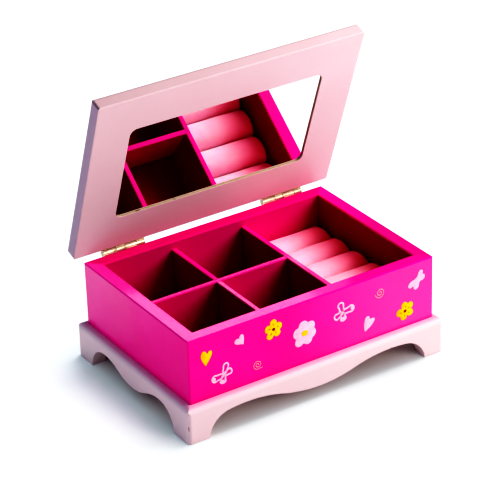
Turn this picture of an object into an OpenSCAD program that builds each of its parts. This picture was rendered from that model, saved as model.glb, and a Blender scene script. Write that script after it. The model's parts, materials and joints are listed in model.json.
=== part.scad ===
// Painted wooden jewelry box: a four-wall case on a scalloped bracket base,
// egg-crate dividers, a ring-roll tray, and a mirrored lid on two butt hinges.
// Millimetres, +Z up. The lid is drawn open, where its hinges hold it, and the
// origin is the middle of the whole footprint on the table, open lid included.

/* [Case] */
// Outside width of the case
case_w = 180; // [172:1:200]
// Outside depth of the case
case_d = 122; // [118:1:132]
// Height of the case walls above the base
case_h = 43; // [38:1:52]
// Thickness of the case walls
wall_t = 9; // [8.5:0.5:10]
// Thickness of the bottom panel
bottom_t = 3; // [2.5:0.5:4]
// Radius of the rim's two long edges
rim_round = 0.8; // [0.4:0.1:1.5]
// Radius of the case's upright corners, in plan
case_corner = 1; // [0.5:0.1:2]
// How far the bottom panel is let into the walls
bottom_groove = 3; // [2:0.5:4]

/* [Base] */
// Height of the base
base_h = 24; // [22:1:28]
// How far the base stands out past the case on every side
base_out = 5; // [4:0.5:7]
// Thickness of the apron boards
apron_t = 10; // [9:0.5:12]
// Radius of the rounded top edge
base_round = 4; // [2:0.5:4.5]
// Radius of the upright corners, in plan
base_corner = 2.5; // [1:0.5:4]
// Width of each bracket foot at the table
foot_w = 14.5; // [12:0.5:20]
// Radius of the arch beside each foot
foot_arc = 17; // [14:0.5:18]
// Height of the arches' crowns above the table
arch_top = 15.8; // [14:0.1:17]
// Height of the centre drop above the table
drop_z = 8; // [6:0.1:9]
// Where the crown stands, as a part of the way from the middle to the foot
crown_at = 0.66; // [0.62:0.01:0.7]
// Leg length of the glue blocks in the corners
block_leg = 13; // [10:1:18]
// Height of the glue blocks
block_h = 10; // [8:0.5:12]

/* [Dividers] */
// Thickness of the divider strips
divider_t = 3.5; // [3:0.5:4]
// How far the dividers stop below the rim
divider_drop = 5.5; // [4:0.5:10]
// Position across the box of the full-depth divider beside the ring rolls
main_x = 23; // [18:1:30]
// Position across the box of the left divider
left_x = -29.6; // [-34:0.1:-24]
// Position from front to back of the cross divider
cross_y = 1.2; // [-6:0.1:8]
// Radius of the strips' top edges
divider_round = 0.6; // [0.3:0.1:1.2]
// Play of the two strips in their half-lap slots, in all
lap_play = 0.2; // [0.1:0.05:0.4]

/* [Ring rolls] */
// Number of ring rolls (each one is a part of its own)
roll_n = 5; // [5]
// Height of a roll above its card
roll_h = 17; // [14:0.5:18]
// Thickness of the card under the rolls
card_t = 2.5; // [1.5:0.5:3]
// Gap between one roll and the next
roll_gap = 0.2; // [0.1:0.1:0.6]

/* [Lid] */
// Width of the lid
lid_w = 192; // [184:1:212]
// Depth of the lid, from its hinged edge
lid_d = 128; // [124:1:140]
// Thickness of the lid board
lid_t = 9.5; // [9:0.5:12]
// Radius of the rounded outer edges
lid_round = 2.5; // [1:0.5:3]
// Radius of the edges round the inner face
lid_soft = 0.6; // [0.3:0.1:1]
// Radius of the lid's corners, in plan
lid_corner = 1.5; // [1:0.5:3]
// Gap between the closed lid and the rim
lid_gap = 0.4; // [0.3:0.1:0.8]
// Opening angle at which the lid stands
lid_open = 69.5; // [0:0.5:100]

/* [Mirror] */
// Width of the mirror pocket
pocket_w = 140; // [120:1:150]
// Height of the mirror pocket
pocket_h = 75; // [60:1:84]
// Corner radius of the mirror pocket
pocket_r = 5; // [3:0.5:8]
// Depth of the mirror pocket
pocket_depth = 3.9; // [3.9:0.1:5]
// Thickness of the mirror
mirror_t = 2; // [2:0.5:2.5]
// Thickness of the mounting tape
tape_t = 0.8; // [0.5:0.1:1]
// Gap between the mirror and its pocket
mirror_gap = 0.4; // [0.3:0.1:0.8]

/* [Hinges] */
// Distance of each hinge's middle from the middle of the box
hinge_x = 60; // [50:1:66]
// Width of each leaf, from the pin's centre
leaf_w = 8.6; // [8:0.1:9]
// Thickness of the leaf brass
leaf_t = 0.9; // [0.8:0.1:1]
// Outer radius of the knuckles
knuckle_r = 2.3; // [2.2:0.1:2.5]
// Radius of the pin
pin_r = 1.3; // [1:0.05:1.3]
// Radial play of the pin in the lid's knuckles
pin_play = 0.05; // [0.03:0.01:0.08]
// Gap between neighbouring knuckles
knuckle_gap = 0.3; // [0.2:0.05:0.4]
// Distance of each screw from its hinge's middle
screw_x = 9; // [8:0.5:11]
// Length of the screws
screw_len = 7; // [6:0.5:9]

/* [Hidden] */
$fn = 48;
eps = 1;

base_w = case_w + 2 * base_out;
base_d = case_d + 2 * base_out;
rim_z = base_h + case_h;
in_w = case_w - 2 * wall_t;
in_d = case_d - 2 * wall_t;
panel_z = base_h + 2;
floor_z = panel_z + bottom_t;
divider_top = rim_z - divider_drop;
divider_h = divider_top - floor_z;

// The ring-roll bay lies between the full-depth divider and the right wall.
bay_x0 = main_x + divider_t / 2;
bay_x1 = in_w / 2;
card_play = 0.25;
roll_pitch = in_d / roll_n;
roll_w = roll_pitch - roll_gap;
roll_z = floor_z + card_t;

// Hinge axis: behind the back face, level with the middle of the lid gap.
axis_off = knuckle_r + 0.3;
axis_y = case_d / 2 + axis_off;
axis_z = rim_z + lid_gap / 2;
screw_z = leaf_t / 2 + lid_t / 2;

// The open lid leans out past the back of the base. Every piece is moved forward
// by half of that, so that the origin is in the middle.
lid_back_y = axis_y - (axis_off + lid_round) * cos(lid_open)
  + (lid_gap / 2 + lid_t - lid_round) * sin(lid_open) + lid_round;
shift_y = -(max(lid_back_y, base_d / 2) - base_d / 2) / 2;

// Knuckles along the pin, as [start, length] from the hinge's left end.
// The case carries the first and third, the lid the second and fourth.
k_case_a = 9.2;
k_lid = 5.7;
k_case_b = 8.5;
hinge_len = k_case_a + k_case_b + 2 * k_lid + 3 * knuckle_gap;
case_knuckles = [[0, k_case_a], [k_case_a + k_lid + 2 * knuckle_gap, k_case_b]];
lid_knuckles = [[k_case_a + knuckle_gap, k_lid],
                [k_case_a + k_lid + k_case_b + 3 * knuckle_gap, k_lid]];

screw_shank_r = 0.9;
screw_head_r = 2;

hot_pink = [1.0, 0.02, 0.5];
pale_pink = [0.95, 0.82, 0.84];
blush = [1.0, 0.85, 0.9];
brass_colour = [0.85, 0.7, 0.42];
raw_wood = [0.8, 0.68, 0.52];

module centred() { translate([0, shift_y, 0]) children(); }

// ---- Plane shapes ----

// A rectangle with four rounded corners.
module rounded_rect(w, d, r) {
  union() {
    square([w - 2 * r, d], center = true);
    square([w, d - 2 * r], center = true);
    for (x = [-1, 1], y = [-1, 1])
      translate([x * (w / 2 - r), y * (d / 2 - r)]) circle(r = r);
  }
}

// A board's end view, its top corners rounded to r and its bottom ones to r0.
module board_end(w, h, r, r0 = 0) {
  union() {
    translate([-w / 2, r0]) square([w, h - r - r0]);
    translate([-w / 2 + r, h / 2]) square([w - 2 * r, h / 2]);
    for (x = [-1, 1]) translate([x * (w / 2 - r), h - r]) circle(r = r);
    if (r0 > 0) {
      translate([-w / 2 + r0, 0]) square([w - 2 * r0, h / 2]);
      for (x = [-1, 1]) translate([x * (w / 2 - r0), r0]) circle(r = r0);
    }
  }
}

// A board along X, or along Y, whose end view is given, centred on the origin.
module run_x(len) { rotate([90, 0, 90]) translate([0, 0, -len / 2]) linear_extrude(height = len) children(); }
module run_y(len) { rotate([90, 0, 0]) translate([0, 0, -len / 2]) linear_extrude(height = len) children(); }

// Plan of one board of a mitred frame; side -1 is the front (or the left).
module long_sector(w, d, side, h) {
  linear_extrude(height = h)
    polygon([[-w / 2, side * d / 2], [w / 2, side * d / 2],
             [w / 2 - d / 2, 0], [-w / 2 + d / 2, 0]]);
}
module short_sector(w, d, side, h) {
  linear_extrude(height = h)
    polygon([[side * w / 2, -d / 2], [side * w / 2, d / 2], [side * (w / 2 - d / 2), 0]]);
}

// Half of an apron's lower edge, from the middle of the board to the table:
// a shallow drop, an ogee up to the crown, and a quick arch down to the foot.
// half is the distance from the middle of the board to the foot.
function arch_half(half) =
  let (xp = half * crown_at,
       rise = arch_top - drop_z,
       r = (xp * xp + rise * rise) / (4 * rise),
       phi = asin(xp / 2 / r),
       xf = half - foot_arc,
       dx = xf - xp,
       zc = arch_top - r + sqrt(pow(r - foot_arc, 2) - dx * dx),
       beta = atan2(dx, zc - (arch_top - r)),
       last = zc < 0 ? acos(-zc / foot_arc) : 90)
  concat(
    [for (i = [0:14]) let (a = phi * i / 14) [r * sin(a), drop_z + r - r * cos(a)]],
    [for (i = [1:22]) let (a = -phi + (beta + phi) * i / 22)
      [xp + r * sin(a), arch_top - r + r * cos(a)]],
    [for (i = [1:14]) let (a = beta + (last - beta) * i / 14)
      [xf + foot_arc * sin(a), max(0, zc + foot_arc * cos(a))]]);

// The opening below an apron's lower edge, taken down past the table.
module arch_opening(half) {
  right = arch_half(half);
  n = len(right);
  polygon(concat(
    [[-right[n - 1][0], -eps]],
    [for (i = [n - 1:-1:1]) [-right[i][0], right[i][1]]],
    right,
    [[right[n - 1][0], -eps]]));
}

// ---- Base ----

module base_ring() {
  difference() {
    intersection() {
      linear_extrude(height = base_h) rounded_rect(base_w, base_d, base_corner);
      run_y(2 * base_d) board_end(base_w, base_h, base_round);
      run_x(2 * base_w) board_end(base_d, base_h, base_round);
    }
    translate([-base_w / 2 + apron_t, -base_d / 2 + apron_t, -eps])
      cube([base_w - 2 * apron_t, base_d - 2 * apron_t, base_h + 2 * eps]);
  }
}

// A long board of the base, mitred at both ends; side -1 is the front.
module long_apron(side) {
  color(pale_pink)
  difference() {
    intersection() {
      base_ring();
      long_sector(base_w, base_d, side, base_h);
    }
    translate([0, side * (base_d / 2 - apron_t / 2), 0])
      run_y(2 * apron_t) arch_opening(base_w / 2 - foot_w);
  }
}

// A short board of the base, mitred at both ends; side -1 is the left.
module short_apron(side) {
  color(pale_pink)
  difference() {
    intersection() {
      base_ring();
      short_sector(base_w, base_d, side, base_h);
    }
    translate([side * (base_w / 2 - apron_t / 2), 0, 0])
      run_x(2 * apron_t) arch_opening(base_d / 2 - foot_w - 2);
  }
}

module base_front_apron() { centred() long_apron(-1); }
module base_back_apron() { centred() long_apron(1); }
module base_left_apron() { centred() short_apron(-1); }
module base_right_apron() { centred() short_apron(1); }

// Three-cornered glue blocks behind the mitres, up against the case.
module base_corner_blocks() {
  x0 = base_w / 2 - apron_t;
  y0 = base_d / 2 - apron_t;
  centred()
  color(raw_wood)
  for (x = [-1, 1], y = [-1, 1])
    translate([0, 0, base_h - block_h])
      linear_extrude(height = block_h)
        polygon([[x * x0, y * y0], [x * (x0 - block_leg), y * y0],
                 [x * x0, y * (y0 - block_leg)]]);
}

// ---- Case ----

// The groove that holds the bottom panel.
module bottom_panel_space() {
  translate([-in_w / 2 - bottom_groove, -in_d / 2 - bottom_groove, panel_z])
    cube([in_w + 2 * bottom_groove, in_d + 2 * bottom_groove, bottom_t]);
}

// Plan of the four walls together.
module wall_plan() {
  linear_extrude(height = case_h) rounded_rect(case_w, case_d, case_corner);
}

// One mitred wall; side -1 is the front (or the left, for a short wall).
module long_wall(side) {
  difference() {
    translate([0, 0, base_h]) intersection() {
      translate([0, side * (case_d - wall_t) / 2, 0])
        run_x(case_w) board_end(wall_t, case_h, rim_round);
      long_sector(case_w, case_d, side, case_h);
      wall_plan();
    }
    bottom_panel_space();
  }
}

module short_wall(side) {
  difference() {
    translate([0, 0, base_h]) intersection() {
      translate([side * (case_w - wall_t) / 2, 0, 0])
        run_y(case_d) board_end(wall_t, case_h, rim_round);
      short_sector(case_w, case_d, side, case_h);
      wall_plan();
    }
    bottom_panel_space();
  }
}

module case_front_wall() { centred() color(hot_pink) long_wall(-1); }
module case_left_wall() { centred() color(hot_pink) short_wall(-1); }
module case_right_wall() { centred() color(hot_pink) short_wall(1); }

module case_back_wall() { centred()
  color(hot_pink)
  difference() {
    long_wall(1);
    for (s = [-1, 1]) hinge_frame(s) case_side() screw_holes();
  }
}

module bottom_panel() { centred() color(hot_pink) bottom_panel_space(); }

// ---- Dividers ----

// The full-depth divider beside the ring rolls.
module divider_main() { centred()
  color(hot_pink)
  translate([main_x, 0, floor_z])
    run_y(in_d) board_end(divider_t, divider_h, divider_round);
}

// The left divider, slotted from above at the crossing.
module divider_left() { centred()
  color(hot_pink)
  difference() {
    translate([left_x, 0, floor_z])
      run_y(in_d) board_end(divider_t, divider_h, divider_round);
    translate([left_x - divider_t, cross_y - divider_t / 2 - lap_play / 2, floor_z + divider_h / 2])
      cube([2 * divider_t, divider_t + lap_play, divider_h]);
  }
}

// The cross divider, from the left wall to the main divider,
// slotted from below at the crossing.
module divider_cross() { centred()
  color(hot_pink)
  difference() {
    translate([(main_x - divider_t / 2 - in_w / 2) / 2, cross_y, floor_z])
      run_x(in_w / 2 + main_x - divider_t / 2) board_end(divider_t, divider_h, divider_round);
    translate([left_x - divider_t / 2 - lap_play / 2, cross_y - divider_t, floor_z - divider_h / 2])
      cube([divider_t + lap_play, 2 * divider_t, divider_h]);
  }
}

// ---- Ring rolls ----

module ring_roll_card() { centred()
  color(raw_wood)
  translate([bay_x0 + card_play, -in_d / 2 + card_play, floor_z])
    cube([bay_x1 - bay_x0 - 2 * card_play, in_d - 2 * card_play, card_t]);
}

// One foam roll, covered in cloth: flat below, round on top. Roll 1 is at the back.
module ring_roll(i) {
  y = in_d / 2 - (i - 0.5) * roll_pitch;
  r = roll_w / 2;
  color(blush)
  translate([bay_x0 + card_play, y, roll_z]) rotate([90, 0, 90])
    linear_extrude(height = bay_x1 - bay_x0 - 2 * card_play)
      intersection() {
        union() {
          translate([-r, 0]) square([2 * r, roll_h - r]);
          translate([0, roll_h - r]) circle(r = r);
        }
        translate([-r, 0]) square([2 * r, roll_h + eps]);
      }
}

module ring_roll_1() { centred() ring_roll(1); }
module ring_roll_2() { centred() ring_roll(2); }
module ring_roll_3() { centred() ring_roll(3); }
module ring_roll_4() { centred() ring_roll(4); }
module ring_roll_5() { centred() ring_roll(5); }

// ---- Hinges ----

// Puts a hinge drawn about its own pin (along X) where it belongs.
module hinge_frame(side) { translate([side * hinge_x, axis_y, axis_z]) children(); }

// A leaf is drawn hanging down behind the case; the lid's is turned to point up.
module case_side() { children(); }
module lid_side() { mirror([0, 0, 1]) children(); }

// Turns what is drawn for the closed lid to the angle at which it stands.
module stand_open() {
  translate([0, axis_y, axis_z]) rotate([-lid_open, 0, 0])
    translate([0, -axis_y, -axis_z]) children();
}

// A cylinder along X, from x0 to x1.
module along_x(x0, x1, r) { translate([x0, 0, 0]) rotate([0, 90, 0]) cylinder(r = r, h = x1 - x0); }

// Pilot holes, a hair larger than the screws.
module screw_holes() {
  for (x = [-screw_x, screw_x])
    translate([x, -axis_off + leaf_t, -screw_z]) rotate([90, 0, 0])
      cylinder(r = screw_shank_r + 0.02, h = screw_len + 0.3);
}

// One leaf with its own two knuckles and room for the other leaf's.
module leaf(own, others, bore_r) {
  x0 = -hinge_len / 2;
  color(brass_colour)
  difference() {
    union() {
      difference() {
        translate([x0, -axis_off, -leaf_w]) cube([hinge_len, leaf_t, leaf_w]);
        for (k = others)
          translate([x0 + k[0] - knuckle_gap, -axis_off - eps, -knuckle_r - 0.4])
            cube([k[1] + 2 * knuckle_gap, leaf_t + 2 * eps, knuckle_r + 0.4 + eps]);
      }
      for (k = own) along_x(x0 + k[0], x0 + k[0] + k[1], knuckle_r);
    }
    for (k = own) along_x(x0 + k[0] - eps / 8, x0 + k[0] + k[1] + eps / 8, bore_r);
    for (x = [-screw_x, screw_x])
      translate([x, -axis_off, -screw_z]) rotate([-90, 0, 0]) {
        translate([0, 0, -eps]) cylinder(r = screw_shank_r + 0.15, h = leaf_t + 2 * eps);
        translate([0, 0, leaf_t - 0.75]) cylinder(r1 = screw_head_r - 0.7, r2 = screw_head_r + 0.1, h = 0.8);
      }
  }
}

module case_leaf(side) { hinge_frame(side) case_side() leaf(case_knuckles, lid_knuckles, pin_r); }
module lid_leaf(side) {
  stand_open() hinge_frame(side) lid_side() leaf(lid_knuckles, case_knuckles, pin_r + pin_play);
}
module hinge_case_leaf_left() { centred() case_leaf(-1); }
module hinge_case_leaf_right() { centred() case_leaf(1); }
module hinge_lid_leaf_left() { centred() lid_leaf(-1); }
module hinge_lid_leaf_right() { centred() lid_leaf(1); }

module hinge_pin(side) {
  color(brass_colour)
  hinge_frame(side) union() {
    along_x(-hinge_len / 2 + 0.3, hinge_len / 2 - 0.3, pin_r);
    for (s = [-1, 1]) translate([s * (hinge_len / 2 - 0.3), 0, 0]) rotate([0, s * 90, 0])
      cylinder(r1 = pin_r, r2 = pin_r - 0.3, h = 0.3);
  }
}
module hinge_pin_left() { centred() hinge_pin(-1); }
module hinge_pin_right() { centred() hinge_pin(1); }

// A slotted countersunk wood screw, its head just below the leaf's face.
module screw() {
  difference() {
    union() {
      translate([0, 0, -screw_len + 1.5]) cylinder(r = screw_shank_r, h = screw_len - 2.2);
      translate([0, 0, -screw_len]) cylinder(r1 = 0.2, r2 = screw_shank_r, h = 1.5);
      translate([0, 0, -0.7]) cylinder(r1 = screw_shank_r, r2 = screw_head_r - 0.1, h = 0.65);
    }
    translate([-screw_head_r, -0.25, -0.4]) cube([2 * screw_head_r, 0.5, 1]);
  }
}

module hinge_screws() {
  color(brass_colour)
  for (x = [-screw_x, screw_x])
    translate([x, -axis_off + leaf_t, -screw_z]) rotate([-90, 0, 0]) screw();
}
module hinge_case_screws() { centred() for (s = [-1, 1]) hinge_frame(s) case_side() hinge_screws(); }
module hinge_lid_screws() { centred() stand_open() for (s = [-1, 1]) hinge_frame(s) lid_side() hinge_screws(); }

// ---- Lid ----

lid_z0 = rim_z + lid_gap;
lid_yc = case_d / 2 - lid_d / 2;

module lid_board() {
  intersection() {
    linear_extrude(height = lid_t) rounded_rect(lid_w, lid_d, lid_corner);
    run_y(2 * lid_d) board_end(lid_w, lid_t, lid_round, lid_soft);
    run_x(2 * lid_w) board_end(lid_d, lid_t, lid_round, lid_soft);
  }
}

module lid_panel() { centred()
  color(pale_pink)
  stand_open()
  difference() {
    translate([0, lid_yc, lid_z0]) lid_board();
    translate([0, lid_yc, lid_z0 - eps])
      linear_extrude(height = pocket_depth + eps) rounded_rect(pocket_w, pocket_h, pocket_r);
    for (s = [-1, 1]) hinge_frame(s) lid_side() screw_holes();
  }
}

module mirror_glass() { centred()
  color([0.8, 0.85, 0.88])
  stand_open()
  translate([0, lid_yc, lid_z0 + pocket_depth - tape_t - mirror_t])
    linear_extrude(height = mirror_t)
      rounded_rect(pocket_w - 2 * mirror_gap, pocket_h - 2 * mirror_gap, pocket_r - mirror_gap);
}

// Three strips of foam tape between the mirror and the bottom of its pocket.
module mirror_tape() { centred()
  color([0.9, 0.9, 0.88])
  stand_open()
  translate([0, lid_yc, lid_z0 + pocket_depth - tape_t])
    for (y = [-1, 0, 1])
      translate([-pocket_w * 0.42, y * pocket_h * 0.34 - 6, 0])
        cube([pocket_w * 0.84, 12, tape_t]);
}

base_front_apron();
base_back_apron();
base_left_apron();
base_right_apron();
base_corner_blocks();
case_front_wall();
case_back_wall();
case_left_wall();
case_right_wall();
bottom_panel();
divider_main();
divider_left();
divider_cross();
ring_roll_card();
ring_roll_1();
ring_roll_2();
ring_roll_3();
ring_roll_4();
ring_roll_5();
hinge_case_leaf_left();
hinge_case_leaf_right();
hinge_pin_left();
hinge_pin_right();
hinge_case_screws();
lid_panel();
mirror_glass();
mirror_tape();
hinge_lid_leaf_left();
hinge_lid_leaf_right();
hinge_lid_screws();
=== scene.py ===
import json
import math

import bmesh
import bpy
from mathutils import Matrix, Vector, noise

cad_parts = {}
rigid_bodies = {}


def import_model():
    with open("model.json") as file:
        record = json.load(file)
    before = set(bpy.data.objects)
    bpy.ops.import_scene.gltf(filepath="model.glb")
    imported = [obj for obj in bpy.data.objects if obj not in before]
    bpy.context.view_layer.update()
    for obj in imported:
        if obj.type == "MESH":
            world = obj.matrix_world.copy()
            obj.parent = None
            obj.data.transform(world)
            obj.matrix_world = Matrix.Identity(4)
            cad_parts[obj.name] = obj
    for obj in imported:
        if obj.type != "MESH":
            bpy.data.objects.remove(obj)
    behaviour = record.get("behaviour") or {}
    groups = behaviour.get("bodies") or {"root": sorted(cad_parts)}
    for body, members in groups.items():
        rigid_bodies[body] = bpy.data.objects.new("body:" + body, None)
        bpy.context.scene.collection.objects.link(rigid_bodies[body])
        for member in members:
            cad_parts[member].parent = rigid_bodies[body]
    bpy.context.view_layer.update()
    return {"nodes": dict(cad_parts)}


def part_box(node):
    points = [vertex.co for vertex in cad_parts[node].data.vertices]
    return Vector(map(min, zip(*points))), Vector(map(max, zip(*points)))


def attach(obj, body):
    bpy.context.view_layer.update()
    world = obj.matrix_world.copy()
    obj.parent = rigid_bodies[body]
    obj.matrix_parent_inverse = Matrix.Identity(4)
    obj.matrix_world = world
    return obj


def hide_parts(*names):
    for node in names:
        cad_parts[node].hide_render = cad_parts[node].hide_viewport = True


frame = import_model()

MM = 0.001
scene = bpy.context.scene
scene.view_settings.view_transform = "Standard"
scene.view_settings.use_curve_mapping = True
curves = scene.view_settings.curve_mapping
curves.black_level = (0.02, 0.02, 0.02)
for at, to in ((0.1, 0.018), (0.2, 0.08), (0.4, 0.29), (0.6, 0.55), (0.85, 0.88)):
    curves.curves[3].points.new(at, to)
curves.update()
nodes = frame["nodes"]

# ---- Camera, at the photograph's angle ----

yaw, pitch, roll = -0.5669973, 0.4904738, -0.0315111
back = Vector((math.sin(yaw) * math.cos(pitch), -math.cos(yaw) * math.cos(pitch), math.sin(pitch)))
right = (-back).cross(Vector((0, 0, 1))).normalized()
up = right.cross(-back)
cam_x = right * math.cos(roll) + up * math.sin(roll)
cam_y = -right * math.sin(roll) + up * math.cos(roll)
cam_data = bpy.data.cameras.new("camera")
cam_data.lens = 169.43
cam_data.sensor_width = 36
cam = bpy.data.objects.new("camera", cam_data)
scene.collection.objects.link(cam)
turn = Matrix((cam_x, cam_y, back)).transposed()
cam.matrix_world = Matrix.Translation((-0.69604, -1.08412 - 0.002529, 0.76181)) @ turn.to_4x4()
scene.camera = cam

# ---- Materials ----


class Paint:
    """A small helper that wires one procedural material."""

    def __init__(self, name):
        self.mat = bpy.data.materials.new(name)
        self.mat.use_nodes = True
        self.nt = self.mat.node_tree
        self.bsdf = self.nt.nodes["Principled BSDF"]
        self.at = self.new("ShaderNodeTexCoord").outputs["Object"]

    def new(self, kind, **props):
        n = self.nt.nodes.new(kind)
        for k, v in props.items():
            setattr(n, k, v)
        return n

    def link(self, a, b):
        self.nt.links.new(a, b)

    def put(self, socket, value):
        if isinstance(value, bpy.types.NodeSocket):
            self.link(value, socket)
        else:
            socket.default_value = value

    def set(self, **values):
        for k, v in values.items():
            self.put(self.bsdf.inputs[k.replace("_", " ")], v)

    def mapped(self, scale=(1, 1, 1), rot=(0, 0, 0), loc=(0, 0, 0), src=None):
        m = self.new("ShaderNodeMapping")
        self.link(src or self.at, m.inputs["Vector"])
        m.inputs["Scale"].default_value = scale
        m.inputs["Rotation"].default_value = rot
        m.inputs["Location"].default_value = loc
        return m.outputs["Vector"]

    def noise(self, scale, detail=3.0, rough=0.5, src=None, distortion=0.0):
        n = self.new("ShaderNodeTexNoise")
        self.link(src or self.at, n.inputs["Vector"])
        n.inputs["Scale"].default_value = scale
        n.inputs["Detail"].default_value = detail
        n.inputs["Roughness"].default_value = rough
        n.inputs["Distortion"].default_value = distortion
        return n.outputs["Fac"]

    def remap(self, value, a, b, c=0.0, d=1.0):
        n = self.new("ShaderNodeMapRange")
        n.interpolation_type = "SMOOTHSTEP"
        self.put(n.inputs["Value"], value)
        for i, v in zip(("From Min", "From Max", "To Min", "To Max"), (a, b, c, d)):
            n.inputs[i].default_value = v
        return n.outputs["Result"]

    def calc(self, op, a, b=0.0, c=0.0, clamp=False):
        n = self.new("ShaderNodeMath", operation=op, use_clamp=clamp)
        for s, v in zip(n.inputs, (a, b, c)):
            self.put(s, v)
        return n.outputs[0]

    def mix(self, fac, a, b, blend="MIX"):
        n = self.new("ShaderNodeMix", data_type="RGBA", blend_type=blend)
        self.put(n.inputs["Factor"], fac)
        self.put(n.inputs[6], a if isinstance(a, bpy.types.NodeSocket) else (*a, 1))
        self.put(n.inputs[7], b if isinstance(b, bpy.types.NodeSocket) else (*b, 1))
        return n.outputs[2]

    def bump(self, height, strength, distance, normal=None):
        n = self.new("ShaderNodeBump")
        self.put(n.inputs["Height"], height)
        n.inputs["Strength"].default_value = strength
        n.inputs["Distance"].default_value = distance
        if normal is not None:
            self.link(normal, n.inputs["Normal"])
        return n.outputs["Normal"]

    def edges(self, radius):
        """1 where the surface turns over an edge within the radius, 0 on a flat."""
        b = self.new("ShaderNodeBevel", samples=6)
        b.inputs["Radius"].default_value = radius
        g = self.new("ShaderNodeNewGeometry")
        d = self.new("ShaderNodeVectorMath", operation="DOT_PRODUCT")
        self.link(b.outputs["Normal"], d.inputs[0])
        self.link(g.outputs["Normal"], d.inputs[1])
        return self.remap(d.outputs["Value"], 0.999, 0.93)


def lacquer(name, base, tint, under, rough=0.34, spec=0.3, wear=0.5, wear_radius=0.0007,
            chips=0.0, peel=0.09, polish=0.0, coat_ior=1.75, level=None, sides=None, extra=None):
    """Sprayed lacquer on board: orange peel, cloudy colour, rubbed and chipped edges."""
    p = Paint(name)
    cloud = p.noise(16, 3, 0.55)
    fine = p.noise(140, 2, 0.5)
    colour = p.mix(p.remap(cloud, 0.35, 0.7), base, tint)
    colour = p.mix(p.calc("MULTIPLY", p.remap(fine, 0.55, 0.75), 0.22), colour, tint)
    # dust nibs under the paint, about one in each square centimetre
    vor = p.new("ShaderNodeTexVoronoi")
    p.link(p.at, vor.inputs["Vector"])
    vor.inputs["Scale"].default_value = 105
    vor.inputs["Randomness"].default_value = 1.0
    nib = p.remap(vor.outputs["Distance"], 0.035, 0.01)
    keep = p.remap(vor.outputs["Color"], 0.66, 0.7)
    nib = p.calc("MULTIPLY", nib, keep)
    edge = p.edges(wear_radius)
    rub = p.calc("MULTIPLY", edge, p.remap(p.noise(85, 4, 0.6), 0.52, 0.68))
    colour = p.mix(p.calc("MULTIPLY", rub, wear), colour, under)
    if chips:
        lost = p.calc("MULTIPLY", p.edges(wear_radius * 1.6), p.remap(p.noise(230, 3, 0.6), 0.7 - chips, 0.73 - chips))
        lost = p.calc("MULTIPLY", lost, p.remap(p.noise(21, 1, 0.5), 0.55, 0.6))
        colour = p.mix(lost, colour, (0.42, 0.3, 0.24))
    if extra:
        colour = extra(p, colour)
    handled = p.noise(38, 4, 0.6)
    r = p.remap(handled, 0.3, 0.75, rough - 0.05, rough + 0.09)
    r = p.calc("ADD", r, p.calc("MULTIPLY", rub, 0.2))
    peel_h = p.noise(420, 2, 0.45)
    grit = p.noise(2600, 1, 0.5)
    h = p.calc("ADD", peel_h, p.calc("MULTIPLY", grit, 0.12))
    h = p.calc("ADD", h, p.calc("MULTIPLY", nib, 0.9))
    n = p.bump(h, peel, 0.0004)
    p.set(Base_Color=colour, Roughness=r, Normal=n)
    p.bsdf.inputs["Specular IOR Level"].default_value = spec
    p.bsdf.inputs["IOR"].default_value = 1.48
    if polish:
        # the level edges were rubbed down and polished, the sides left as sprayed
        g = p.new("ShaderNodeSeparateXYZ")
        p.link(p.new("ShaderNodeNewGeometry").outputs["Normal"], g.inputs[0])
        coat = p.remap(g.outputs["Z"], 0.7, 0.97, 0.0, polish)
        if level:
            coat = p.calc("MULTIPLY", coat, level(p))
        if sides:
            coat = p.calc("ADD", coat, sides(p, g))
        p.set(Coat_Weight=coat)
        p.bsdf.inputs["Coat Roughness"].default_value = 0.18
        p.bsdf.inputs["Coat IOR"].default_value = coat_ior
    return p.mat


def closed_coords(p):
    """Object coordinates turned back to where the lid lies when it is closed."""
    a = math.radians(69.5)
    ay, az = HINGE_Y, HINGE_Z
    dy = ay - (ay * math.cos(a) - az * math.sin(a))
    dz = az - (ay * math.sin(a) + az * math.cos(a))
    return p.mapped(rot=(a, 0, 0), loc=(0, dy, dz))


pin_lo, pin_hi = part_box("hinge_pin_left")
HINGE_Y, HINGE_Z = (pin_lo[1] + pin_hi[1]) / 2, (pin_lo[2] + pin_hi[2]) / 2
LID_FACE = HINGE_Z + 0.2 * MM


def pocket_board_and_left_shade(p, colour):
    """Bare board with pink overspray on the walls and floor of the mirror pocket, and painted shade on the lid faces
    that turn left.
    """
    at = p.new("ShaderNodeSeparateXYZ")
    p.link(closed_coords(p), at.inputs[0])
    cy = HINGE_Y - 2.6 * MM - 61 * MM - 3 * MM
    inside_x = p.remap(p.calc("ABSOLUTE", at.outputs["X"]), 70.15 * MM, 70.05 * MM)
    inside_y = p.remap(p.calc("ABSOLUTE", p.calc("SUBTRACT", at.outputs["Y"], cy)), 37.65 * MM, 37.55 * MM)
    deep = p.remap(at.outputs["Z"], LID_FACE + 0.18 * MM, LID_FACE + 0.42 * MM)
    above = p.remap(at.outputs["Z"], LID_FACE + 5.2 * MM, LID_FACE + 5.0 * MM)
    m = p.calc("MULTIPLY", p.calc("MULTIPLY", inside_x, inside_y), p.calc("MULTIPLY", deep, above))
    fibre = p.noise(900, 4, 0.65)
    board = p.mix(fibre, (0.50, 0.36, 0.22), (0.78, 0.62, 0.44))
    # three small brown scuffs along the lower wall, where the cutter was lifted
    spots = p.remap(p.noise(150, 1, 0.5), 0.7, 0.74)
    board = p.mix(spots, board, (0.12, 0.06, 0.04))
    g = p.new("ShaderNodeSeparateXYZ")
    p.link(p.new("ShaderNodeNewGeometry").outputs["Normal"], g.inputs[0])
    # painted shade: the lid faces that turn left are coloured a dim, cool lavender
    colour = p.mix(p.remap(g.outputs["X"], -0.6, -0.95, 0.0, 0.75), colour, (0.50, 0.33, 0.50))
    return p.mix(m, colour, board)


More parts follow.
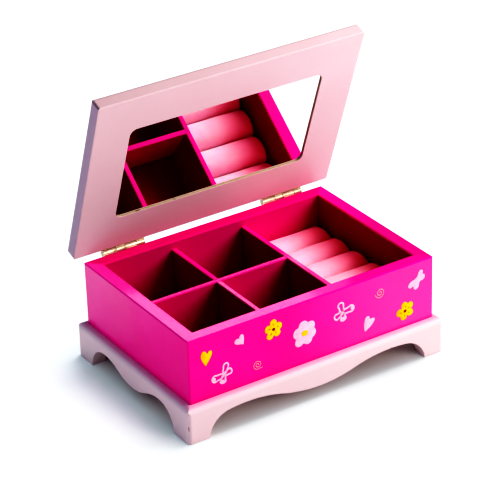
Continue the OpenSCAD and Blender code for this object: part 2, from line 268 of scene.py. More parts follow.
def wood(name, light, dark, along=(1, 1, 1), rough=0.7):
    p = Paint(name)
    v = p.mapped(scale=along)
    grain = p.noise(60, 6, 0.65, v, 0.4)
    pores = p.noise(420, 3, 0.6, v)
    colour = p.mix(p.remap(grain, 0.3, 0.7), light, dark)
    colour = p.mix(p.calc("MULTIPLY", p.remap(pores, 0.6, 0.75), 0.5), colour, tuple(c * 0.45 for c in dark))
    p.set(Base_Color=colour, Roughness=p.remap(pores, 0.3, 0.7, rough - 0.08, rough + 0.1),
          Normal=p.bump(p.calc("ADD", grain, pores), 0.25, 0.0004))
    p.bsdf.inputs["Specular IOR Level"].default_value = 0.3
    return p.mat


def metal(name, base, tarnish, rough=0.26, along=(1, 1, 1)):
    p = Paint(name)
    brushed = p.noise(1500, 3, 0.6, p.mapped(scale=along))
    stain = p.noise(210, 4, 0.6)
    edge = p.edges(0.0003)
    colour = p.mix(p.remap(stain, 0.45, 0.75), base, tarnish)
    colour = p.mix(p.calc("MULTIPLY", edge, 0.5), colour, tuple(min(1, c * 1.25) for c in base))
    r = p.calc("ADD", p.remap(stain, 0.35, 0.75, rough - 0.04, rough + 0.2), p.calc("MULTIPLY", brushed, 0.1))
    p.set(Base_Color=colour, Roughness=r, Normal=p.bump(brushed, 0.12, 0.0001))
    p.bsdf.inputs["Metallic"].default_value = 0.75
    return p.mat


def mirror_mat():
    p = Paint("mirror_silver")
    smear = p.noise(22, 4, 0.7, p.mapped(scale=(1, 3, 3)))
    dust = p.remap(p.noise(2400, 1, 0.5), 0.74, 0.8)
    r = p.calc("ADD", p.remap(smear, 0.55, 0.85, 0.004, 0.035), p.calc("MULTIPLY", dust, 0.08))
    colour = p.mix(p.calc("MULTIPLY", dust, 0.15), (0.93, 0.945, 0.95), (0.8, 0.78, 0.76))
    p.set(Base_Color=colour, Roughness=r)
    p.bsdf.inputs["Metallic"].default_value = 1.0
    return p.mat


def velvet():
    """Short-pile cloth: nap that lies in patches, fine fibres, and a soft sheen."""
    p = Paint("roll_velour")
    nap = p.noise(70, 3, 0.6, None, 0.3)
    pile = p.noise(2300, 2, 0.6)
    rows = p.new("ShaderNodeTexWave", wave_type="BANDS", bands_direction="X")
    p.link(p.at, rows.inputs["Vector"])
    rows.inputs["Scale"].default_value = 320
    rows.inputs["Distortion"].default_value = 1.2
    rows.inputs["Detail"].default_value = 1.0
    colour = p.mix(p.remap(nap, 0.3, 0.72), (0.96, 0.58, 0.68), (0.98, 0.66, 0.76))
    colour = p.mix(p.calc("MULTIPLY", p.remap(pile, 0.5, 0.2), 0.3), colour, (0.80, 0.36, 0.46))
    # painted shade: the cloth is coloured a deeper pink towards the right wall, where the wall's shadow and the red
    # light bounced off the walls fall
    at = p.new("ShaderNodeSeparateXYZ")
    p.link(p.at, at.inputs[0])
    colour = p.mix(p.remap(at.outputs["X"], 40 * MM, 70 * MM, 0.0, 0.8), colour, (0.84, 0.16, 0.30))
    h = p.calc("ADD", pile, p.calc("MULTIPLY", rows.outputs["Fac"], 0.35))
    p.set(Base_Color=colour, Roughness=p.remap(nap, 0.3, 0.7, 0.82, 0.95), Normal=p.bump(h, 0.35, 0.0003))
    p.bsdf.inputs["Specular IOR Level"].default_value = 0.15
    p.bsdf.inputs["Subsurface Weight"].default_value = 0.6
    p.bsdf.inputs["Subsurface Radius"].default_value = (1.0, 0.07, 0.12)
    p.bsdf.inputs["Subsurface Scale"].default_value = 0.018
    p.bsdf.inputs["Sheen Weight"].default_value = 0.35
    p.bsdf.inputs["Sheen Roughness"].default_value = 0.45
    p.bsdf.inputs["Sheen Tint"].default_value = (1.0, 0.8, 0.88, 1)
    return p.mat


def motif_paint(name, base, tint, rough=0.42):
    """Thick screen-printed paint with a faint mesh and uneven cover."""
    p = Paint(name)
    cover = p.noise(420, 3, 0.6)
    colour = p.mix(p.remap(cover, 0.4, 0.72), base, tint)
    grid = p.noise(3000, 1, 0.5)
    h = p.calc("ADD", p.noise(700, 2, 0.5), p.calc("MULTIPLY", grid, 0.25))
    p.set(Base_Color=colour, Roughness=p.remap(cover, 0.3, 0.7, rough - 0.06, rough + 0.08),
          Normal=p.bump(h, 0.12, 0.0003))
    p.bsdf.inputs["Specular IOR Level"].default_value = 0.25
    return p.mat


# painted shade: the back wall's level edge takes a darker pink than the other rims, for the open lid's shade; its
# inside faces are shaded as on the other walls
def back_wall_shade(p, colour):
    return shade_inside_and_rim_tone(p, colour, rim=(0.86, 0.0, 0.25))


def shade_inside_and_rim_tone(p, colour, rim=None):
    """Painted light and shade: the level faces take the rim colour, and the faces inside the case take a darker pink,
    darkest on those that turn left.
    """
    lo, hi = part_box("bottom_panel")
    at = p.new("ShaderNodeSeparateXYZ")
    p.link(p.at, at.inputs[0])
    cy = (lo[1] + hi[1]) / 2
    hx, hy = (hi[0] - lo[0]) / 2 - 2.6 * MM, (hi[1] - lo[1]) / 2 - 2.6 * MM
    in_x = p.remap(p.calc("ABSOLUTE", at.outputs["X"]), hx, hx - 0.3 * MM)
    in_y = p.remap(p.calc("ABSOLUTE", p.calc("SUBTRACT", at.outputs["Y"], cy)), hy, hy - 0.3 * MM)
    low = p.remap(at.outputs["Z"], 66.2 * MM, 65.4 * MM)
    m = p.calc("MULTIPLY", p.calc("MULTIPLY", in_x, in_y), low)
    g = p.new("ShaderNodeSeparateXYZ")
    p.link(p.new("ShaderNodeNewGeometry").outputs["Normal"], g.inputs[0])
    # painted highlight on the level faces, or painted shade where a darker rim colour is given
    colour = p.mix(p.remap(g.outputs["Z"], 0.6, 0.95), colour, rim or TOP_HIGHLIGHT)
    # painted shade: the inside colour, varied at random, and darker still on the faces that turn left
    inner = p.mix(p.noise(30, 3, 0.6), INSIDE_SHADE, (0.72, 0.0, 0.25))
    return p.mix(m, colour, p.mix(p.remap(g.outputs["X"], -0.6, -0.95), inner, DEEP_SHADE))


def ledge_reflection_and_chips(p, colour):
    """Painted reflection and shade on the ledge, which is coloured a deeper pink as the pink case would reflect and
    shade it, and small chips on the front left foot's upright corner.
    """
    lo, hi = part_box("base_left_apron")
    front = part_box("base_front_apron")[0][1]
    at = p.new("ShaderNodeSeparateXYZ")
    p.link(p.at, at.inputs[0])
    g = p.new("ShaderNodeSeparateXYZ")
    p.link(p.new("ShaderNodeNewGeometry").outputs["Normal"], g.inputs[0])
    # painted reflection and shade: the level faces take a deeper pink
    colour = p.mix(p.remap(g.outputs["Z"], 0.6, 0.95), colour, (0.74, 0.40, 0.48))
    near = p.calc("MULTIPLY", p.remap(at.outputs["X"], lo[0] + 1.3 * MM, lo[0] + 0.6 * MM),
                  p.remap(at.outputs["Y"], front + 1.3 * MM, front + 0.6 * MM))
    lost = p.calc("MULTIPLY", near, p.remap(p.noise(260, 2, 0.5), 0.55, 0.60))
    return p.mix(lost, colour, (0.35, 0.2, 0.15))


def rim_gloss(p):
    """Where the level edges are glossy: at the left and the front, and not down in the case."""
    at = p.new("ShaderNodeSeparateXYZ")
    p.link(p.at, at.inputs[0])
    left = p.remap(at.outputs["X"], -70 * MM, -80 * MM)
    front = p.remap(at.outputs["Y"], 12 * MM, -8 * MM, 0.1, 1.0)
    top = p.remap(at.outputs["Z"], 58 * MM, 60 * MM)
    return p.calc("MULTIPLY", p.calc("MAXIMUM", left, front), top)


def side_sheen(p, facing):
    """A thin clear coat, thickening to the back of the left side and to the right along the front."""
    lo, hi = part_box("case_left_wall")
    at = p.new("ShaderNodeSeparateXYZ")
    p.link(p.at, at.inputs[0])
    left = p.calc("MULTIPLY", p.remap(facing.outputs["X"], -0.85, -0.99),
                  p.remap(at.outputs["X"], lo[0] + 2 * MM, lo[0] + 1 * MM))
    climb = p.calc("ADD", at.outputs["Y"], p.calc("MULTIPLY", at.outputs["Z"], 1.4))
    left = p.calc("MULTIPLY", left, p.remap(climb, 30 * MM, 150 * MM, 0.04, 0.5))
    front = p.calc("MULTIPLY", p.remap(facing.outputs["Y"], -0.85, -0.99),
                   p.remap(at.outputs["Y"], lo[1] + 2 * MM, lo[1] + 1 * MM))
    front = p.calc("MULTIPLY", front, p.remap(at.outputs["X"], -45 * MM, 80 * MM, 0.0, 0.45))
    return p.calc("ADD", left, front)


HOT = (0.92, 0.0, 0.30)
TOP_HIGHLIGHT = (0.95, 0.0, 0.36)  # painted highlight: a lighter, more magenta pink on the level edges, where the light falls
# painted shade: a darker pink for the faces inside the case, where little light reaches
INSIDE_SHADE = (0.66, 0.0, 0.225)
DEEP_SHADE = (0.34, 0.0, 0.06)  # painted shade, darker still, on the floors and the sides that face left, away from the key light
hot_outside = lacquer("hot_pink_lacquer", HOT, (0.95, 0.004, 0.34), (0.97, 0.16, 0.42),
                      rough=0.36, spec=0.25, wear=0.4, polish=1.0, coat_ior=2.5, level=rim_gloss, sides=side_sheen, extra=shade_inside_and_rim_tone)
# painted shade: a darker copy of the outside lacquer for the back wall, which the open lid shades
hot_back_shaded = lacquer("hot_pink_back_shaded", HOT, (0.95, 0.004, 0.34), (0.92, 0.12, 0.38),
                   rough=0.38, spec=0.2, wear=0.4, polish=0.3, level=rim_gloss, extra=back_wall_shade)


def divider_shade_and_highlight(p, colour):
    """Painted shade on the dividers' sides that face left and on their lower parts, and the same painted highlight as
    the rim on their top edges.
    """
    at = p.new("ShaderNodeSeparateXYZ")
    p.link(p.at, at.inputs[0])
    g = p.new("ShaderNodeSeparateXYZ")
    p.link(p.new("ShaderNodeNewGeometry").outputs["Normal"], g.inputs[0])
    # painted shade: the faces that turn left and the lower parts take the dark colour
    thin = p.calc("MAXIMUM", p.remap(g.outputs["X"], -0.6, -0.95), p.remap(at.outputs["Z"], 31 * MM, 29.5 * MM))
    colour = p.mix(thin, colour, DEEP_SHADE)
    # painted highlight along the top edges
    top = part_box("divider_main")[1][2]
    return p.mix(p.remap(at.outputs["Z"], top - 0.9 * MM, top - 0.3 * MM), colour, TOP_HIGHLIGHT)


# painted shade: the darker inside copy of the pink lacquer, for the dividers and the case floor
hot_inside_shaded = lacquer("hot_pink_inside_shaded", INSIDE_SHADE, (0.72, 0.002, 0.25), (0.92, 0.08, 0.34),
                     rough=0.5, spec=0.12, wear=0.4, peel=0.12, polish=1.0, coat_ior=2.6, level=rim_gloss, extra=divider_shade_and_highlight)
pale_base = lacquer("pale_pink_base", (0.785, 0.57, 0.58), (0.805, 0.595, 0.60), (0.75, 0.47, 0.49),
                    rough=0.32, spec=0.3, wear=0.3, chips=0.04, polish=0.3, extra=ledge_reflection_and_chips)
pale_lid = lacquer("pale_pink_lid", (0.77, 0.545, 0.57), (0.79, 0.57, 0.595), (0.76, 0.505, 0.53),
                   rough=0.34, spec=0.25, wear=0.25, extra=pocket_board_and_left_shade)
brass = metal("hinge_brass", (0.70, 0.61, 0.46), (0.40, 0.30, 0.20), along=(1, 6, 6))
screw_mat = metal("screw_brass", (0.86, 0.66, 0.36), (0.50, 0.33, 0.16), 0.3)
pin_mat = metal("pin_steel", (0.62, 0.55, 0.45), (0.35, 0.27, 0.2), 0.3)
block_wood = wood("bare_pine", (0.72, 0.52, 0.30), (0.52, 0.33, 0.16), (1, 1, 0.15))
card_mat = wood("grey_card", (0.50, 0.44, 0.38), (0.38, 0.32, 0.27), (0.4, 1, 1), 0.85)
tape_mat = wood("foam_tape", (0.80, 0.78, 0.74), (0.62, 0.6, 0.56), (1, 1, 1), 0.9)
mirror_silver = mirror_mat()
velour = velvet()
yellow = motif_paint("motif_yellow", (1.0, 0.62, 0.0), (0.96, 0.50, 0.0))
blush = motif_paint("motif_blush", (0.95, 0.57, 0.70), (0.93, 0.48, 0.65))
ember = motif_paint("motif_orange", (1.0, 0.52, 0.36), (0.98, 0.42, 0.36))
brown = motif_paint("motif_brown", (0.30, 0.03, 0.02), (0.2, 0.015, 0.01))

DRESS = {
    hot_outside: ["case_front_wall", "case_left_wall", "case_right_wall"],
    hot_back_shaded: ["case_back_wall"],
    hot_inside_shaded: ["bottom_panel", "divider_main", "divider_left", "divider_cross"],
    pale_base: ["base_front_apron", "base_back_apron", "base_left_apron", "base_right_apron"],
    pale_lid: ["lid_panel"],
    brass: ["hinge_case_leaf_left", "hinge_case_leaf_right", "hinge_lid_leaf_left", "hinge_lid_leaf_right"],
    pin_mat: ["hinge_pin_left", "hinge_pin_right"],
    screw_mat: ["hinge_case_screws", "hinge_lid_screws"],
    block_wood: ["base_corner_blocks"],
    card_mat: ["ring_roll_card"],
    tape_mat: ["mirror_tape"],
    mirror_silver: ["mirror_glass"],
}
for mat, names in DRESS.items():
    for n in names:
        o = nodes[n]
        if not o.material_slots:
            o.data.materials.append(mat)
        for s in o.material_slots:
            s.material = mat


# ---- Helpers for new meshes ----


def new_piece(name, bm, mat, smooth=True):
    bmesh.ops.recalc_face_normals(bm, faces=bm.faces)
    me = bpy.data.meshes.new(name)
    bm.to_mesh(me)
    bm.free()
    for f in me.polygons:
        f.use_smooth = smooth
    me.materials.append(mat)
    o = bpy.data.objects.new(name, me)
    scene.collection.objects.link(o)
    return o


def loft(bm, rings, cap=True):
    """Joins rings of equal length with quads; each ring is a list of points."""
    made = [[bm.verts.new(p) for p in r] for r in rings]
    n = len(rings[0])
    for a, b in zip(made, made[1:]):
        for i in range(n):
            bm.faces.new((a[i], a[(i + 1) % n], b[(i + 1) % n], b[i]))
    if cap:
        bm.faces.new(made[0][::-1])
        bm.faces.new(made[-1])
    return made


# ---- Ring rolls: firm foam under short-pile cloth ----


def ring_roll(index):
    lo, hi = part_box(f"ring_roll_{index}")
    lo, hi = Vector(lo), Vector(hi)
    yc, half, z0, tall = (lo.y + hi.y) / 2, (hi.y - lo.y) / 2, lo.z, hi.z - lo.z
    x0, x1 = lo.x + 0.05 * MM, hi.x - 0.1 * MM
    dome = 9.2 * MM
    power = 2.25
    stations, around = 96, 44
    seed = Vector((3.1 * index, 7.7 * index, 1.9 * index))
    rings = []
    for i in range(stations + 1):
        # more stations towards the two ends
        t = i / stations
        t = 0.5 - 0.5 * math.cos(math.pi * t) if i not in (0, stations) else t
        x = x0 + (x1 - x0) * t
        left, rest = x - x0, x1 - x
        e_left = math.sqrt(max(0, 1 - (1 - min(left / (1.4 * MM), 1)) ** 2))
        e_right = math.sqrt(max(0, 1 - (1 - min(rest / (6.5 * MM), 1)) ** 2))
        k_h = (0.93 + 0.07 * e_left) * (0.50 + 0.50 * e_right)
        k_w = (0.975 + 0.025 * e_left) * (0.80 + 0.20 * e_right)
        top = z0 + tall * k_h * (0.993 + 0.007 * math.sin(9 * t + index))
        w = half * k_w
        b = min(dome, (top - z0) * 0.62)
        zc = top - b
        ring = []
        for j in range(around):
            s = j / around
            if s < 0.62:
                phi = math.pi * s / 0.62
                c, sn = math.cos(phi), math.sin(phi)
                y = w * math.copysign(abs(c) ** (2 / power), c)
                z = zc + b * abs(sn) ** (2 / power)
                out = Vector((0, c, sn))
            else:
                u = (s - 0.62) / 0.38
                if u < 0.3:
                    y, z = -w, zc + (z0 - zc) * (u / 0.3)
                    out = Vector((0, -1, 0))
                elif u < 0.7:
                    y, z = -w + 2 * w * (u - 0.3) / 0.4, z0
                    out = Vector((0, 0, -1))
                else:
                    y, z = w, z0 + (zc - z0) * (u - 0.7) / 0.3
                    out = Vector((0, 1, 0))
            p = Vector((x, yc + y, z))
            if s < 0.62:
                lump = noise.noise(p * 62 + seed) * 0.32 * MM
                low = max(0.0, 1 - (z - zc) / (0.8 * b)) if b else 0
                pull = noise.noise(Vector((x * 420, yc * 50, z * 60)) + seed) * 0.34 * MM * low
                tuck = noise.noise(Vector((phi * 2.4, x * 150, index))) * 0.45 * MM * (1 - e_right) ** 0.7
                d = lump + pull + tuck - 0.3 * MM
                side = abs(c) ** 3
                p += out * (d * (1 - 0.55 * side))
            ring.append(p)
        rings.append(ring)
    bm = bmesh.new()
    loft(bm, rings)
    o = new_piece(f"ring_roll_cover_{index}", bm, velour)
    sub = o.modifiers.new("smooth", "SUBSURF")
    sub.levels = sub.render_levels = 1
    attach(o, "case")
    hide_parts(f"ring_roll_{index}")
    return o


for i in range(1, 6):
    ring_roll(i)

# ---- Painted motifs on the front ----

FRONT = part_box("case_front_wall")[0][1]


def smooth_loop(points, steps=8, closed=True):
    """Catmull-Rom curve through given points, in millimetres."""
    n = len(points)
    out = []
    spans = n if closed else n - 1
    for i in range(spans):
        if closed:
            p = [points[(i + k - 1) % n] for k in range(4)]
        else:
            p = [points[min(max(i + k - 1, 0), n - 1)] for k in range(4)]
        for s in range(steps):
            t = s / steps
            out.append(tuple(
                0.5 * (2 * p[1][a] + (p[2][a] - p[0][a]) * t
                       + (2 * p[0][a] - 5 * p[1][a] + 4 * p[2][a] - p[3][a]) * t * t
                       + (3 * p[1][a] - p[0][a] - 3 * p[2][a] + p[3][a]) * t ** 3)
                for a in (0, 1)))
    if not closed:
        out.append(tuple(points[-1]))
    return out


def normals_2d(loop, closed=True):
    n = len(loop)
    area = sum(loop[i][0] * loop[(i + 1) % n][1] - loop[(i + 1) % n][0] * loop[i][1] for i in range(n))
    sign = 1 if (area > 0 or not closed) else -1
    res = []
    for i in range(n):
        a = loop[(i - 1) % n] if closed else loop[max(i - 1, 0)]
        b = loop[(i + 1) % n] if closed else loop[min(i + 1, n - 1)]
        tx, tz = b[0] - a[0], b[1] - a[1]
        length = math.hypot(tx, tz) or 1
        res.append((sign * tz / length, -sign * tx / length))
    return res


def spot(x, z, proud):
    """A point on the front face, that far proud of it."""
    return Vector((x * MM, FRONT - proud * MM, z * MM))


def pad_of_paint(bm, outline, rise=0.16, inset=0.32, base=0.0):
    """A closed blob of paint with a rolled edge, over an outline in millimetres."""
    nor = normals_2d(outline)

    def ring(cut, proud):
        return [spot(x - nx * cut, z - nz * cut, proud) for (x, z), (nx, nz) in zip(outline, nor)]

    loft(bm, [ring(0.0, -0.06), ring(0.0, base + 0.25 * rise), ring(0.3 * inset, base + 0.75 * rise),
              ring(inset, base + rise)])


def line_of_paint(bm, path, width, rise=0.15, closed=False, base=0.0, swell=None):
    """A brush line of that width along a path in millimetres."""
    n = len(path)
    nor = normals_2d(path, closed)
    rings = []
    for i, ((x, z), (nx, nz)) in enumerate(zip(path, nor)):
        w = width / 2 * (swell(i / max(n - 1, 1)) if swell else 1)
        if not closed and i in (0, n - 1):
            w *= 0.45
        rings.append([spot(x + nx * w * a, z + nz * w * a, h) for a, h in (
            (-1, -0.06), (-0.92, base + 0.5 * rise), (-0.45, base + rise),
            (0.45, base + rise), (0.92, base + 0.5 * rise), (1, -0.06))])
    if closed:
        rings.append(rings[0])
        made = [[bm.verts.new(p) for p in r] for r in rings[:-1]]
        made.append(made[0])
        for a, b in zip(made, made[1:]):
            for k in range(6):
                bm.faces.new((a[k], a[(k + 1) % 6], b[(k + 1) % 6], b[k]))
    else:
        loft(bm, rings)


def motif(name, mat, build):
    bm = bmesh.new()
    build(bm)
    o = new_piece(name, bm, mat)
    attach(o, "case")
    return o


def petals(cx, cz, tips, inner, steps=120):
    """An outline with one rounded petal for each (angle, reach, width)."""
    pts = []
    for k in range(steps):
        th = 360 * k / steps
        best = inner
        for ang, reach, wide in tips:
            d = math.radians((th - ang + 180) % 360 - 180)
            if abs(d) > math.radians(75):
                continue
            a = 0.36 * reach
            b = wide / 2
            c0 = reach - a
            cs, sn = math.cos(d), math.sin(d)
            qa = (cs / a) ** 2 + (sn / b) ** 2
            qb = -2 * c0 * cs / a ** 2
            qc = (c0 / a) ** 2 - 1
            disc_ = qb * qb - 4 * qa * qc
            if disc_ > 0:
                best = max(best, (-qb + math.sqrt(disc_)) / (2 * qa))
        pts.append((math.radians(th), best))
    # ease the outline's notches
    radii = [r for _, r in pts]
    for _ in range(2):
        radii = [(radii[i - 1] + 2 * radii[i] + radii[(i + 1) % steps]) / 4 for i in range(steps)]
    return [(cx + r * math.cos(t), cz + r * math.sin(t)) for (t, _), r in zip(pts, radii)]


def disc(cx, cz, rx, rz=None, wob=0.06, n=28):
    rz = rz or rx
    return [(cx + rx * math.cos(2 * math.pi * i / n) * (1 + wob * math.sin(6 * math.pi * i / n)),
             cz + rz * math.sin(2 * math.pi * i / n) * (1 + wob * math.cos(4 * math.pi * i / n))) for i in range(n)]


def wing(cx, cz, tip, wide, narrow=0.12):
    """A closed loop from the butterfly's middle out to a rounded wing tip."""
    dx, dz = tip[0] - cx, tip[1] - cz
    length = math.hypot(dx, dz)
    ux, uz, sx, sz = dx / length, dz / length, -dz / length, dx / length
    rel = ((0.02, 0), (0.22, narrow), (0.52, 0.40), (0.80, 0.5), (0.96, 0.27), (1.0, 0),
           (0.96, -0.27), (0.80, -0.5), (0.52, -0.40), (0.22, -narrow))
    return smooth_loop([(cx + ux * a * length + sx * b * wide, cz + uz * a * length + sz * b * wide)
                        for a, b in rel], 5)


def spiral(cx, cz, rx, rz, turns, start, way=1, tail=None):
    pts = []
    n = int(turns * 22)
    for i in range(n + 1):
        t = i / n
        a = math.radians(start) + way * 2 * math.pi * turns * t
        k = 0.10 + 0.90 * t
        pts.append((cx + rx * k * math.cos(a), cz + rz * k * math.sin(a)))
    if tail:
        pts += tail
    return pts


motif("motif_heart_1", yellow, lambda bm: pad_of_paint(bm, smooth_loop([
    (-76.9, 54.9), (-77.7, 56.4), (-79.3, 57.3), (-80.9, 56.4), (-81.4, 53.9), (-80.7, 51.2), (-79.4, 48.7),
    (-78.2, 46.9), (-76.9, 48.4), (-75.2, 50.7), (-73.8, 53.2), (-73.4, 55.3), (-74.5, 56.4), (-75.9, 56.1)], 6)))


def butterfly_1(bm):
    c = (-65.9, 36.4)
    for tip, wide in (((-63.7, 44.0), 3.6), ((-74.2, 35.4), 4.4), ((-60.3, 38.2), 3.8), ((-66.8, 31.0), 3.8)):
        line_of_paint(bm, wing(*c, tip, wide, 0.34), 1.3, closed=True)
    pad_of_paint(bm, disc(*c, 0.9), rise=0.18)
    pad_of_paint(bm, disc(-73.0, 35.3, 1.5, 1.7))
    pad_of_paint(bm, disc(-66.7, 32.0, 1.2, 1.5))


motif("motif_butterfly_1", blush, butterfly_1)
motif("motif_heart_2", blush, lambda bm: pad_of_paint(bm, smooth_loop([
    (-54.4, 57.5), (-53.7, 59.2), (-52.4, 59.9), (-51.2, 59.0), (-50.8, 56.8), (-51.0, 54.6), (-51.3, 52.7),
    (-53.2, 53.2), (-55.6, 53.7), (-57.4, 54.8), (-57.6, 56.4), (-56.5, 57.5), (-55.3, 57.8)], 6)))
motif("motif_spiral_1", ember, lambda bm: line_of_paint(
    bm, spiral(-41.6, 35.0, 3.5, 3.2, 1.95, 320, 1, [(-38.0, 32.2)]), 0.5, rise=0.1))


def yellow_flower(cx, cz, tips, dashes, number):
    motif(f"motif_flower_yellow_{number}", yellow,
          lambda bm: pad_of_paint(bm, petals(cx, cz, tips, 3.5)))

    def marks(bm):
        pad_of_paint(bm, disc(cx, cz, 1.1), rise=0.12, inset=0.2, base=0.16)
        for ang, r0, r1 in dashes:
            a = math.radians(ang)
            line_of_paint(bm, [(cx + math.cos(a) * (r0 + (r1 - r0) * k / 3), cz + math.sin(a) * (r0 + (r1 - r0) * k / 3))
                               for k in range(4)], 0.42, rise=0.07, base=0.15)

    motif(f"motif_flower_marks_{number}", brown, marks)


yellow_flower(-29.6, 55.5, [(92, 6.9, 5.0), (20, 6.3, 5.2), (308, 6.4, 5.0), (236, 7.3, 5.2), (165, 6.5, 5.3)],
              [(95, 2.6, 4.3), (25, 2.4, 3.8), (300, 2.4, 3.8), (236, 2.5, 4.3), (165, 2.5, 4.0)], 1)
yellow_flower(68.3, 35.3, [(96, 6.5, 4.8), (38, 7.3, 4.8), (-28, 6.8, 5.0), (256, 6.4, 5.0), (184, 6.6, 5.3)],
              [(85, 2.5, 3.9), (30, 2.5, 3.9), (-32, 2.5, 3.6), (262, 2.5, 3.6), (186, 2.5, 4.1)], 2)
motif("motif_flower_blush", blush, lambda bm: pad_of_paint(bm, petals(
    -7.3, 45.1, [(98, 8.9, 7.0), (42, 9.2, 6.6), (-14, 8.5, 6.8), (-66, 8.8, 6.6), (232, 9.7, 6.6), (166, 8.5, 7.2)],
    6.3)))
motif("motif_flower_middle", yellow, lambda bm: pad_of_paint(
    bm, disc(-7.3, 45.2, 2.3, 2.1, 0.08), rise=0.14, base=0.16))


def butterfly_2(bm):
    c = (20.6, 49.9)
    for tip, wide in (((19.3, 57.1), 4.0), ((29.3, 51.2), 4.3), ((15.0, 47.6), 4.0), ((21.6, 44.3), 3.8)):
        line_of_paint(bm, wing(*c, tip, wide, 0.34), 1.3, closed=True)
    pad_of_paint(bm, disc(*c, 0.9), rise=0.18)
    pad_of_paint(bm, disc(28.2, 51.0, 1.3, 1.6))
    pad_of_paint(bm, disc(21.3, 45.6, 1.2, 1.5))


motif("motif_butterfly_2", blush, butterfly_2)
motif("motif_heart_3", blush, lambda bm: pad_of_paint(bm, smooth_loop([
    (41.5, 38.6), (41.0, 40.3), (39.6, 41.2), (38.0, 40.3), (37.2, 37.6), (36.9, 34.4), (37.6, 30.9),
    (39.6, 31.8), (42.2, 33.5), (44.4, 35.8), (45.0, 37.9), (43.8, 38.7), (42.5, 38.8)], 6)))
motif("motif_spiral_2", ember, lambda bm: line_of_paint(
    bm, spiral(49.2, 54.5, 3.6, 3.7, 1.9, 150, -1), 0.48, rise=0.1))
motif("motif_butterfly_3", blush, lambda bm: pad_of_paint(bm, smooth_loop([
    (77.7, 56.8), (78.6, 59.3), (80.4, 60.6), (82.0, 59.6), (81.9, 57.3), (83.3, 56.6), (83.5, 54.6), (82.2, 53.2),
    (80.0, 52.8), (79.2, 51.2), (78.6, 48.9), (76.6, 47.8), (74.9, 48.9), (74.6, 50.6), (72.5, 49.9), (70.8, 51.0),
    (71.2, 53.1), (73.2, 54.5), (75.4, 55.1)], 5)))

# ---- Floor, light ----

bm = bmesh.new()
bmesh.ops.create_grid(bm, x_segments=40, y_segments=40, size=9.0)
fp = Paint("studio_floor")
soft = fp.noise(1.3, 2, 0.5)
fp.set(Base_Color=fp.mix(soft, (0.86, 0.865, 0.87), (0.88, 0.885, 0.89)),
       Roughness=fp.remap(fp.noise(60, 3, 0.5), 0.3, 0.7, 0.75, 0.85))
fp.bsdf.inputs["Specular IOR Level"].default_value = 0.1
floor = new_piece("studio_floor", bm, fp.mat, False)
floor.location.z = -0.0001

world = bpy.data.worlds.new("studio")
world.use_nodes = True
wt = world.node_tree
wb = wt.nodes["Background"]
wb.inputs["Color"].default_value = (0.68, 0.76, 1.0, 1)
wb.inputs["Strength"].default_value = 0.115
pale = wt.nodes.new("ShaderNodeBackground")
pale.inputs["Color"].default_value = (0.97, 0.985, 1.0, 1)
pale.inputs["Strength"].default_value = 1.0
rays = wt.nodes.new("ShaderNodeLightPath")
pick = wt.nodes.new("ShaderNodeMixShader")
wt.links.new(rays.outputs["Is Camera Ray"], pick.inputs[0])
wt.links.new(wb.outputs[0], pick.inputs[1])
wt.links.new(pale.outputs[0], pick.inputs[2])
wt.links.new(pick.outputs[0], wt.nodes["World Output"].inputs["Surface"])
scene.world = world


def area(name, direction, distance, size, power, colour=(1, 1, 1), target=(0, 0, 0.06), size_y=None):
    data = bpy.data.lights.new(name, "AREA")
    data.shape = "RECTANGLE"
    data.size = size
    data.size_y = size_y or size
    data.energy = power
    data.color = colour
    o = bpy.data.objects.new(name, data)
    scene.collection.objects.link(o)
    d = Vector(direction).normalized()
    o.location = Vector(target) + d * distance
    o.rotation_euler = d.to_track_quat("Z", "Y").to_euler()
    return o


key = area("key_softbox", (0.71, -0.39, 0.585), 0.9, 0.66, 14.6, (1, 0.985, 0.97))
cool = area("cool_fill", (-0.62, -0.22, 0.75), 1.1, 1.0, 6.0, (0.60, 0.74, 1.0))

# a scrim takes the key's own glare off the glossy edges and the mirror
key.visible_glossy = False

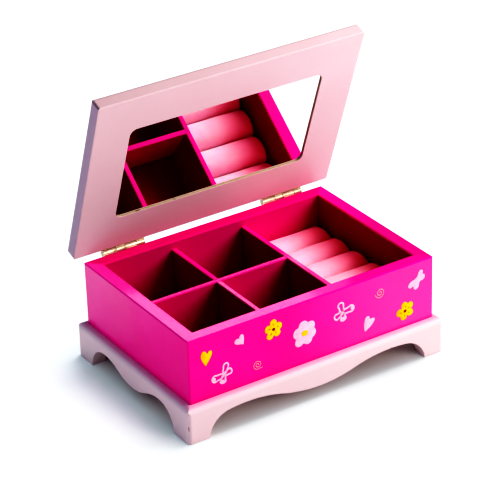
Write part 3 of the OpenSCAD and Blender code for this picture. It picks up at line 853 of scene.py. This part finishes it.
# The white sweep has a broad light of its own, so that it stays white right up
# to the box, and the key light is flagged off it.
sweep = bpy.data.lights.new("sweep_light", "SUN")
sweep.angle = math.radians(32)
sweep.energy = 2.1
sweep_light = bpy.data.objects.new("sweep_light", sweep)
scene.collection.objects.link(sweep_light)
sweep_light.rotation_euler = Vector((0.44, 0.10, 1.0)).to_track_quat("Z", "Y").to_euler()
only_floor = bpy.data.collections.new("sweep_only")
only_floor.objects.link(floor)
sweep_light.light_linking.receiver_collection = only_floor
low = bpy.data.lights.new("sweep_fill", "SUN")
low.angle = math.radians(150)
low.energy = 2.35
low.color = (0.80, 0.97, 1.0)
low_light = bpy.data.objects.new("sweep_fill", low)
scene.collection.objects.link(low_light)
low_light.rotation_euler = Vector((0.1, -0.35, 0.93)).to_track_quat("Z", "Y").to_euler()
low_light.light_linking.receiver_collection = only_floor
warm = bpy.data.lights.new("sweep_warm", "SUN")
warm.angle = math.radians(30)
warm.energy = 1.25
warm.color = (1.0, 0.84, 0.70)
warm_light = bpy.data.objects.new("sweep_warm", warm)
scene.collection.objects.link(warm_light)
warm_light.rotation_euler = Vector((0.40, -1.0, 0.42)).to_track_quat("Z", "Y").to_euler()
warm_light.light_linking.receiver_collection = only_floor
off_floor = bpy.data.collections.new("off_the_sweep")
off_floor.objects.link(floor)
off_floor.collection_objects[0].light_linking.link_state = "EXCLUDE"
key.light_linking.receiver_collection = off_floor
# the cool fill is a narrow one, on the left side and the ledges only
left_side = bpy.data.collections.new("left_side")
for n in ("case_left_wall", "case_front_wall", "base_left_apron", "base_front_apron", "base_back_apron"):
    left_side.objects.link(nodes[n])
cool.light_linking.receiver_collection = left_side
# light that the painted walls throw back on the rolls
bounce = area("bounce_on_rolls", (0.5, -0.1, 0.9), 0.5, 0.3, 0.8, (1.0, 0.01, 0.07), (0.055, 0, 0.045))
rolls = bpy.data.collections.new("rolls")
for i in range(1, 6):
    rolls.objects.link(bpy.data.objects[f"ring_roll_cover_{i}"])
bounce.light_linking.receiver_collection = rolls
bounce.data.use_shadow = False
# a card that puts a glint on the hinges
glint = area("hinge_glint", (0.30, -0.85, 0.55), 0.8, 0.6, 5.0, (1.0, 0.96, 0.88))
brassware = bpy.data.collections.new("brassware")
for n in DRESS[brass] + DRESS[pin_mat] + DRESS[screw_mat]:
    brassware.objects.link(nodes[n])
glint.light_linking.receiver_collection = brassware
# the open lid stands clear of the light that whitens the sweep
no_lid = bpy.data.collections.new("box_without_lid")
for n in ("lid_panel", "mirror_glass", "mirror_tape"):
    no_lid.objects.link(nodes[n])
for c in no_lid.collection_objects:
    c.light_linking.link_state = "EXCLUDE"
sweep_light.light_linking.blocker_collection = no_lid
low_light.light_linking.blocker_collection = no_lid
